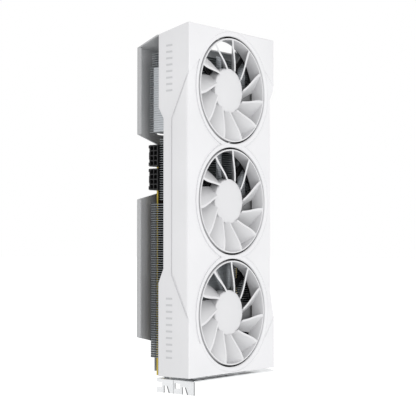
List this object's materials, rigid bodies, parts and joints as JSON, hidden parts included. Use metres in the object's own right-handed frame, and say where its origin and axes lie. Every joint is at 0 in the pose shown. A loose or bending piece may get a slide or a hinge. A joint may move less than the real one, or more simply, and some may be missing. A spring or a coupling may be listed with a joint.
{
  "type": "graphics card",
  "caption": "Long graphics card: white fan shroud with a slanted far end, bladed fans in a row, finned cooler, metal backplate with an air window, and an I/O bracket.",
  "frame": {"origin": "on the I/O bracket's outer face, half-way along the bracket, in the circuit board's middle plane", "axes": "+Z along the card's length away from the bracket, -Y the way the fans face, +X towards the motherboard"},
  "size_m": [0.1435, 0.0565, 0.309],
  "materials": {
    "white_shell": "smooth satin white moulding",
    "white_fan": "satin white moulding",
    "coated_plate": "light grey powder coat outside, dark grey inside",
    "steel": "satin plated steel",
    "screw_steel": "plated steel",
    "board": "black solder mask over glass fibre",
    "silicon": "polished dark grey",
    "black_plastic": "matte black moulding",
    "copper": "bare copper",
    "aluminium": "plain rolled aluminium",
    "gold_brass": "gold plate and sintered bronze"
  },
  "bodies": {
    "card_body": {"shroud": "white_shell", "backplate": "coated_plate", "io_bracket": "steel", "retention_brace": "steel", "video_socket_1": "steel", "video_socket_2": "steel", "video_socket_3": "steel", "video_socket_4": "steel", "backplate_screw_1": "screw_steel", "backplate_screw_2": "screw_steel", "backplate_screw_3": "screw_steel", "backplate_screw_4": "screw_steel", "brace_screw_1": "screw_steel", "brace_screw_2": "screw_steel", "brace_screw_3": "screw_steel", "brace_screw_4": "screw_steel", "bracket_screw_1": "screw_steel", "bracket_screw_2": "screw_steel", "circuit_board": "board", "gpu_package": "board", "gpu_die": "silicon", "choke_1": "silicon", "choke_2": "silicon", "choke_3": "silicon", "choke_4": "silicon", "memory_1": "black_plastic", "memory_2": "black_plastic", "memory_3": "black_plastic", "memory_4": "black_plastic", "memory_5": "black_plastic", "memory_6": "black_plastic", "power_socket_1": "black_plastic", "power_socket_2": "black_plastic", "fan_1_frame": "black_plastic", "fan_2_frame": "black_plastic", "fan_3_frame": "black_plastic", "cold_plate": "copper", "heatpipe_1": "copper", "heatpipe_2": "copper", "heatpipe_3": "copper", "heatpipe_4": "copper", "heatpipe_5": "copper", "fan_1_stator": "copper", "fan_2_stator": "copper", "fan_3_stator": "copper", "fin_stack_main": "aluminium", "fin_stack_power": "aluminium", "fin_stack_tail": "aluminium", "fan_1_bearing": "gold_brass", "fan_2_bearing": "gold_brass", "fan_3_bearing": "gold_brass"},
    "fan_1": {"fan_1_rotor": "white_fan", "fan_1_ring": "white_fan", "fan_1_shaft": "screw_steel"},
    "fan_2": {"fan_2_rotor": "white_fan", "fan_2_ring": "white_fan", "fan_2_shaft": "screw_steel"},
    "fan_3": {"fan_3_rotor": "white_fan", "fan_3_ring": "white_fan", "fan_3_shaft": "screw_steel"}
  },
  "joints": [
    {"name": "fan_1_spin", "type": "hinge", "parent": "card_body", "child": "fan_1", "pos_m": [-0.01995, -0.04, 0.0568], "axis": [0, -1, 0], "continuous": true},
    {"name": "fan_2_spin", "type": "hinge", "parent": "card_body", "child": "fan_2", "pos_m": [-0.01995, -0.04, 0.152], "axis": [0, -1, 0], "continuous": true},
    {"name": "fan_3_spin", "type": "hinge", "parent": "card_body", "child": "fan_3", "pos_m": [-0.01995, -0.04, 0.2472], "axis": [0, -1, 0], "continuous": true}
  ]
}
